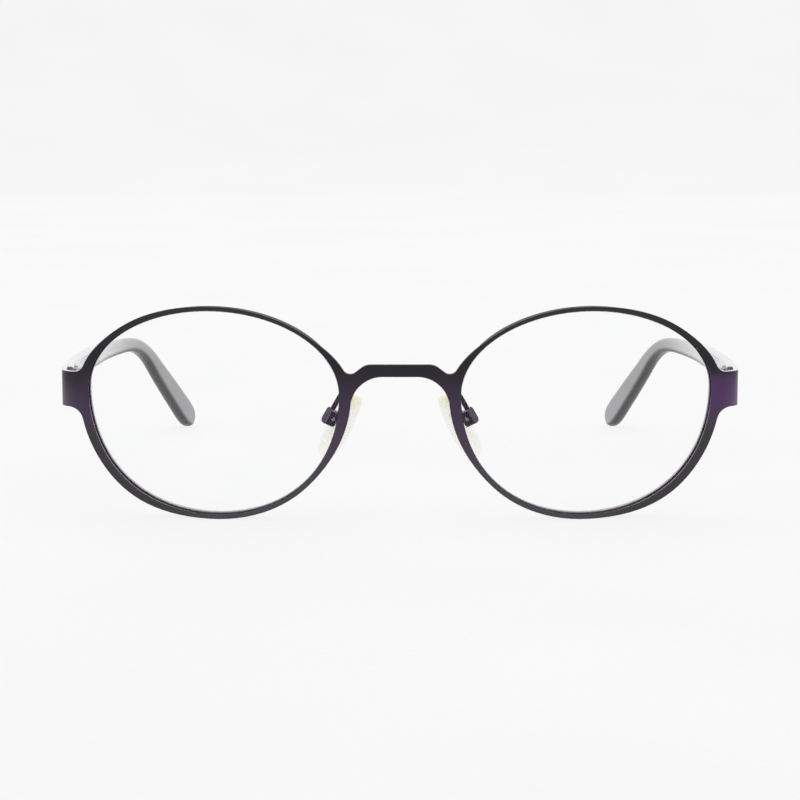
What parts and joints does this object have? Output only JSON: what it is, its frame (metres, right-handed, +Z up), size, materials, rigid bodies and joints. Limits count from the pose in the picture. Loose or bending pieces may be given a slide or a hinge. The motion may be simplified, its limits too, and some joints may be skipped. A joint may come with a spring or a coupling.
{
  "type": "oval metal eyeglasses",
  "caption": "Oval full-rim metal eyeglasses with a thin flat-topped bridge, clear lenses, adjustable nose pads and folding temples with moulded tip sleeves.",
  "frame": {"origin": "middle of the footprint at table level, standing open on both rims and both temple tips", "axes": "+X to the wearer's left, +Y from the front back to the temple tips, +Z up"},
  "size_m": [0.1372, 0.1418, 0.0409],
  "materials": {
    "front_metal": "dark grey metal lacquer with a purple tint, semi-gloss",
    "rim_metal": "the same dark lacquer on the rim wire",
    "lens_clear": "clear and uncoloured, polished",
    "fitting_metal": "small dark plated hinge leaves and blocks",
    "screw_steel": "turned screws, slightly dulled",
    "pad_metal": "dark purple plating on pad boxes and arms",
    "insert_clear": "clear hard plastic core inside the pad",
    "temple_metal": "dark grey metal lacquer, glossy at a low angle",
    "sleeve_plastic": "dark grey moulded sleeve, polished",
    "pad_clear": "clear soft plastic, slightly yellowed"
  },
  "bodies": {
    "front": {"front_plate": "front_metal", "eyewire_left": "rim_metal", "eyewire_right": "rim_metal", "lens_left": "lens_clear", "lens_right": "lens_clear", "closing_block_upper_left": "fitting_metal", "closing_block_upper_right": "fitting_metal", "closing_block_lower_left": "fitting_metal", "closing_block_lower_right": "fitting_metal", "closing_screw_left": "screw_steel", "closing_screw_right": "screw_steel", "hinge_front_leaf_left": "fitting_metal", "hinge_front_leaf_right": "fitting_metal", "hinge_screw_left": "screw_steel", "hinge_screw_right": "screw_steel", "pad_arm_left": "pad_metal", "pad_arm_right": "pad_metal", "pad_box_left": "pad_metal", "pad_box_right": "pad_metal", "pad_screw_left": "screw_steel", "pad_screw_right": "screw_steel"},
    "temple_left": {"temple_bar_left": "temple_metal", "temple_sleeve_left": "sleeve_plastic", "hinge_temple_leaf_left": "fitting_metal"},
    "nose_pad_left": {"nose_pad_left": "pad_clear", "pad_insert_left": "insert_clear"},
    "temple_right": {"temple_bar_right": "temple_metal", "temple_sleeve_right": "sleeve_plastic", "hinge_temple_leaf_right": "fitting_metal"},
    "nose_pad_right": {"nose_pad_right": "pad_clear", "pad_insert_right": "insert_clear"}
  },
  "joints": [
    {"name": "temple_left_fold", "type": "hinge", "parent": "front", "child": "temple_left", "pos_m": [0.06311, -0.04843, 0.02246], "axis": [0, -0.0372, 0.9993], "range_deg": [0, 90]},
    {"name": "temple_right_fold", "type": "hinge", "parent": "front", "child": "temple_right", "pos_m": [-0.06311, -0.04843, 0.02246], "axis": [0, 0.0372, -0.9993], "range_deg": [0, 84]},
    {"name": "nose_pad_left_rock", "type": "hinge", "parent": "front", "child": "nose_pad_left", "pos_m": [0.0133, -0.06175, 0.01909], "axis": [0.3544, 0.9055, 0.2336], "range_deg": [-8, 8]},
    {"name": "nose_pad_right_rock", "type": "hinge", "parent": "front", "child": "nose_pad_right", "pos_m": [-0.0133, -0.06175, 0.01909], "axis": [-0.3544, 0.9055, 0.2336], "range_deg": [-8, 8]}
  ]
}
